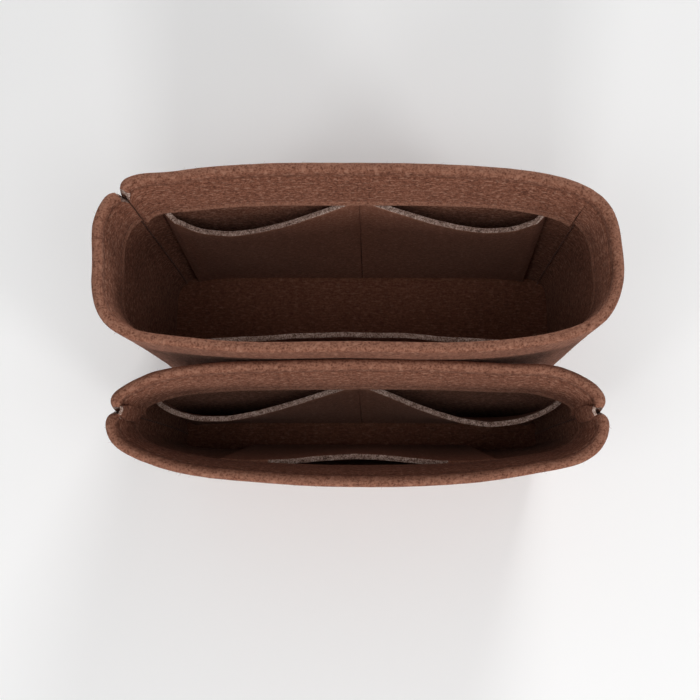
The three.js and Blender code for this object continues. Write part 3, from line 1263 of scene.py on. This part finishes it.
@dataclass
class Pouch(ABC):
    """What both pouches share: their form, their pockets, their sewing and how a piece joins the model."""

    name: str
    height: float
    rim: Outline
    base: Outline
    flare: float
    pulls: tuple[Pull, ...]
    sway: float
    seed: float
    seam_word: str
    seam_run: float
    scoops: tuple[Scoop, Scoop]
    front_scoop: Scoop
    front_pocket_width: float
    fibre_crest: float = 5 * MM

    @property
    def body(self) -> str:
        """Body that the pouch's own pieces ride on."""
        return f"{self.name}_pouch"

    @property
    @abstractmethod
    def centre(self) -> float:
        """Middle of the rim from front to back, where the frame puts it."""

    @abstractmethod
    def walls(self) -> dict[str, WallPanel]:
        """Walls of the pouch in order of making, by the words that name them."""

    @cached_property
    def form(self) -> PouchForm:
        """Shell of the pouch."""
        sizes = (self.height, self.rim, self.base, self.flare, self.centre)
        return PouchForm(*sizes, self.pulls, self.sway, self.seed)

    @cached_property
    def seam(self) -> float:
        """Place of the right seam of the walls."""
        return self.rim.turn_of(self.seam_run)

    def build(self) -> Iterator[Object]:
        """Make the pouch.

        Yields:
            Each piece, in order of making.
        """
        walls = self.walls()
        for panel in (BasePanel(f"{self.name}_base_felt", self.form), *walls.values()):
            yield from self.felt(panel)
        yield from self.pockets()
        yield from self.trim()
        for word, line in self.sewing(walls).items():
            node = f"{self.name}_{word}"
            piece = StitchRun(node, line).build()
            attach(piece, self.body)
            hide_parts(node)
            yield piece

    def felt(self, panel: FeltPanel) -> Iterator[Object]:
        """Join a panel of felt to the model, with its loose fibre.

        Args:
            panel: The panel.

        Yields:
            The panel's piece and its fibre.
        """
        piece, area = panel.build()
        strands = LooseFibres(piece, crest=self.height - self.fibre_crest).build()
        for each in (piece, strands):
            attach(each, self.body)
        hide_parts(panel.node)
        least = min(area, math.prod(panel.flat))
        panel.flat
        yield from (piece, strands)

    def pockets(self) -> Iterator[Object]:
        """Make the two scooped back pockets and the front pocket.

        Yields:
            Each half of each pocket.
        """
        middle = BACK - self.rim.turn_of(POCKET_SEAM_GAP)
        back = [
            (f"back_pocket_{side.value}", side.value, scoop, self.sewn_side(side, scoop), side.turn(middle))
            for side, scoop in zip(Side, self.scoops)
        ]
        half = self.rim.turn_of(self.front_pocket_width / 2, at_back=False)
        front = ("front_pocket", "near", self.front_scoop, lambda up: FRONT - half, FRONT + half)
        for word, hinged, *rest in (*back, front):
            bodies = (f"{self.name}_{hinged}_pocket", self.body)
            yield from PocketPanel(f"{self.name}_{word}_felt", self.form, *bodies, *rest).halves()

    def sewn_side(self, side: Side, scoop: Scoop) -> Callable[[float], float]:
        """Sewn side of a back pocket, from its foot to its lip."""
        return lambda up: side.turn(self.seam + self.rim.turn_of(lerp(scoop.foot, scoop.side, up)))

    def trim(self) -> Iterator[Object]:
        """Small trim of the pouch, none unless it has some of its own."""
        yield from ()

    def sewing(self, walls: dict[str, WallPanel]) -> dict[str, Line]:
        """Lines that the stitches follow.

        Args:
            walls: Walls of the pouch, by the words that name them.

        Returns:
            The lines in order of making, by the words that name their nodes.
        """
        lines = {}
        for word, wall in walls.items():
            rise = self.height - HEM + HEM_STITCH_RISE
            stand = wall.hem_stand * (1 - HEM_STITCH_RISE / HEM) ** HEM_STAND_CURVE
            lines[f"{word}_hem_stitch"] = self.line(wall.span, (rise, rise), FOLD - HEM_STITCH_SINK + stand)
        turns = {f"{self.seam_word}_{side.value}": side.turn(self.seam) for side in Side}
        turns["pocket_seam"] = BACK
        upright = (POCKET_FOOT, self.height - HEM - POCKET_HEM_GAP)
        for word, turn in turns.items():
            lines[word] = self.line((turn, turn), upright, UPRIGHT_SEAM_INSET)
        lines["base_seam"] = self.line((0.0, WHOLE), (BASE_SEAM_HEIGHT, BASE_SEAM_HEIGHT), -BASE_SEAM_OUT)
        return lines

    def line(self, turns: Pair, heights: Pair, inset: float) -> Line:
        """Line in the wall between two places on the outline and two heights."""
        return lambda share: self.form.wall(lerp(*turns, share), lerp(*heights, share), inset)


@dataclass
class MainPouch(Pouch):
    """Deep open pouch with rounded ends, whose second wall wraps round both ends and the front."""

    name: str = "main"
    height: float = 140 * MM
    rim: Outline = Outline(250 * MM, 54 * MM, 40 * MM, back_power=3.8, front_power=3.2)
    base: Outline = Outline(216 * MM, 42 * MM, 31 * MM, back_power=8.0, front_power=4.0)
    flare: float = 1.2
    pulls: tuple[Pull, ...] = (
        Pull(0.055, 0.030, 0.9 * MM),
        Pull(0.003, 0.018, 1.2 * MM),
        Pull(0.425, 0.022, 4.4 * MM),
        Pull(0.460, 0.022, 2.4 * MM),
        Pull(0.250, 0.130, 0.7 * MM),
        Pull(0.558, 0.034, 2.6 * MM),
        Pull(0.75, 0.075, -1.3 * MM),
        Pull(0.972, 0.018, -0.9 * MM),
        Pull(0.527, 0.018, -0.9 * MM),
    )
    sway: float = 0.6 * MM
    seed: float = 3.0
    seam_word: str = "corner_seam"
    seam_run: float = 42 * MM
    scoops: tuple[Scoop, Scoop] = (
        Scoop(9.8 * MM, 18 * MM, 0.34, side=13 * MM, foot=7 * MM, pleat=0.7 * MM),
        Scoop(10.0 * MM, 13 * MM, 0.33, side=17 * MM, foot=9 * MM, pleat=0.7 * MM),
    )
    front_scoop: Scoop = Scoop(11.0 * MM, 6 * MM, fullness=0.6, columns=100)
    front_pocket_width: float = 190 * MM
    open_end: SeamEnd = SeamEnd(notch=2.4 * MM, tuck=0.9 * MM, open=2.8 * MM)
    closed_end: SeamEnd = SeamEnd(notch=0.3 * MM, tuck=0.0, run=4 * MM)
    back_stand: float = 3.0 * MM
    wrap_stand: float = 0.6 * MM

    @property
    def centre(self) -> float:
        """Middle of the rim from front to back, where the frame puts it."""
        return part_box("main_back_wall")[1][1] - self.rim.back

    def walls(self) -> dict[str, WallPanel]:
        """Back wall and wrap wall, whose left corner seam stands open.

        Returns:
            The walls in order of making, by the words that name them.
        """
        gap, tight = (self.rim.turn_of(width / 2) for width in (SEAM_GAP, TIGHT_SEAM_GAP))
        back = (self.seam + tight, LEFT_END - self.seam - gap)
        wrap = (LEFT_END - self.seam + gap, WHOLE + self.seam - tight)
        ends = (self.closed_end, self.open_end)
        return {
            "back": WallPanel(
                "main_back_wall_felt", self.form, back, ends, hem_stand=self.back_stand, creased=True
            ),
            "wrap": WallPanel("main_wrap_wall_felt", self.form, wrap, ends[::-1], hem_stand=self.wrap_stand),
        }


@dataclass
class SlimPouch(Pouch):
    """Slim pouch with a lens-shaped mouth, whose two walls meet in a seam up each end."""

    name: str = "slim"
    height: float = 121 * MM
    rim: Outline = Outline(237 * MM, 25 * MM, 36 * MM, back_power=3.0, front_power=2.7)
    base: Outline = Outline(200 * MM, 11 * MM, 11 * MM, back_power=8.0, front_power=8.0, shift=9 * MM)
    flare: float = 1.15
    pulls: tuple[Pull, ...] = (
        Pull(0.065, 0.030, 2.4 * MM),
        Pull(0.960, 0.035, 3.6 * MM),
        Pull(0.470, 0.022, -1.6 * MM),
        Pull(0.525, 0.025, 1.6 * MM),
        Pull(0.750, 0.150, 1.3 * MM),
        Pull(0.660, 0.050, -0.9 * MM),
    )
    sway: float = 0.5 * MM
    seed: float = 11.0
    seam_word: str = "end_seam"
    seam_run: float = 0.0
    scoops: tuple[Scoop, Scoop] = (
        Scoop(12.5 * MM, 20 * MM, 0.30, side=17.5 * MM, foot=13 * MM),
        Scoop(15.5 * MM, 20 * MM, 0.34, side=17.5 * MM, foot=13 * MM),
    )
    front_scoop: Scoop = Scoop(5.0 * MM, 2 * MM, fullness=3.0, bare_reach=44 * MM, columns=80)
    front_pocket_width: float = 150 * MM
    seam_end: SeamEnd = SeamEnd(notch=2.2 * MM, tuck=1.0 * MM, open=3.4 * MM, run=8 * MM)
    back_stand: float = 2.6 * MM

    @property
    def centre(self) -> float:
        """Middle of the rim from front to back, where the frame puts it."""
        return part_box("slim_front_wall")[0][1] + self.rim.front

    def walls(self) -> dict[str, WallPanel]:
        """Back wall and front wall.

        Returns:
            The walls in order of making, by the words that name them.
        """
        gap = self.rim.turn_of(SEAM_GAP / 2)
        back, front = (gap, LEFT_END - gap), (LEFT_END + gap, WHOLE - gap)
        ends = (self.seam_end, self.seam_end)
        return {
            "back": WallPanel(
                "slim_back_wall_felt", self.form, back, ends, hem_stand=self.back_stand, creased=True
            ),
            "front": WallPanel("slim_front_wall_felt", self.form, front, ends),
        }

    def trim(self) -> Iterator[Object]:
        """Lay a felt tab over the seam at each end.

        Yields:
            Each tab.
        """
        for side in Side:
            tab = SeamTab(f"slim_end_tab_{side.value}", self.form, side.turn(self.seam))
            piece, area = tab.build()
            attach(piece, self.body)
            tab.flat
            min(area, math.prod(tab.flat))
            yield piece


@dataclass(frozen=True)
class Softbox:
    """Square lamp that faces the set."""

    name: str
    place: Triple
    size: float
    power: float
    aim: Triple = (0.0, 0.0, 0.08)

    def build(self) -> None:
        """Hang the lamp in its place."""
        lamp = bpy.data.lights.new(self.name, "AREA")
        lamp.shape = "SQUARE"
        lamp.size = self.size
        lamp.energy = self.power
        holder = bpy.data.objects.new(self.name, lamp)
        holder.location = self.place
        holder.rotation_euler = (Vector(self.aim) - Vector(self.place)).to_track_quat("-Z", "Y").to_euler()
        bpy.context.scene.collection.objects.link(holder)


@dataclass
class Studio:
    """Pale floor, soft light and a camera high over the front of the set."""

    floor_size: float = 6.0
    floor_drop: float = 0.4 * MM
    sky: float = 0.31
    azimuth: float = 2.00
    elevation: float = 76.52
    roll: float = 2.05
    eye: Triple = (13.27 * MM, -158.63 * MM, 736.98 * MM)
    sensor: float = 36.0
    focal_share: float = 1327.7 / 700
    shift: float = (350 - 396.2) / 700
    nearest: float = 10 * MM
    lamps: tuple[Softbox, ...] = (
        Softbox("front_right_softbox", (1.27, -1.27, 0.96), 0.4, 8.5),
        Softbox("front_softbox", (0.00, -1.80, 0.96), 0.4, 14.0),
        Softbox("front_left_softbox", (-1.27, -1.27, 0.96), 0.4, 5.5),
        Softbox("high_left_softbox", (-0.71, -0.71, 1.81), 0.7, 4.5),
        Softbox("high_right_softbox", (0.71, -0.71, 1.81), 0.7, 4.5),
        Softbox("back_softbox", (0.50, 1.87, 0.58), 0.6, 25.0),
    )

    def build(self) -> None:
        """Set up the floor, the light and the camera."""
        bpy.context.scene.view_settings.view_transform = "Standard"
        self.lay_floor()
        self.light_sky()
        for lamp in self.lamps:
            lamp.build()
        self.place_camera()

    def lay_floor(self) -> None:
        """Lay the floor just under the set."""
        bm = bmesh.new()
        bmesh.ops.create_grid(bm, x_segments=2, y_segments=2, size=self.floor_size / 2)
        bmesh.ops.translate(bm, verts=bm.verts, vec=(0.0, 0.0, -self.floor_drop))
        shown(bm, "studio_floor", [STUDIO_FLOOR.material()])

    def light_sky(self) -> None:
        """Light the set evenly from all round."""
        world = bpy.data.worlds.new("studio_sky")
        world.use_nodes = True
        bpy.context.scene.world = world
        background = world.node_tree.nodes["Background"]
        background.inputs["Color"].default_value = (*WHITE, 1.0)
        background.inputs["Strength"].default_value = self.sky

    def place_camera(self) -> None:
        """Point the camera as the photograph was taken."""
        lens = bpy.data.cameras.new("camera")
        lens.sensor_width = self.sensor
        lens.lens = self.focal_share * self.sensor
        lens.shift_x = self.shift
        lens.clip_start = self.nearest
        camera = bpy.data.objects.new("camera", lens)
        turn, tilt, roll = (math.radians(angle) for angle in (self.azimuth, self.elevation, self.roll))
        ahead = Vector((math.sin(turn) * math.cos(tilt), math.cos(turn) * math.cos(tilt), -math.sin(tilt)))
        right = Vector((math.cos(turn), -math.sin(turn), 0.0))
        up = right.cross(ahead)
        across = right * math.cos(roll) + up * math.sin(roll)
        upright = up * math.cos(roll) - right * math.sin(roll)
        axes = Matrix((across, upright, -ahead)).transposed().to_4x4()
        camera.matrix_world = Matrix.Translation(self.eye) @ axes
        bpy.context.scene.collection.objects.link(camera)
        bpy.context.scene.camera = camera


def main() -> None:
    """Build the set and its studio."""
    logging.basicConfig(level=logging.INFO, format="%(message)s")
    for pouch in (MainPouch(), SlimPouch()):
        for piece in pouch.build():
            LOG.info("%s: %d faces", piece.name, len(piece.data.polygons))
    Studio().build()


if __name__ == "__main__":
    main()
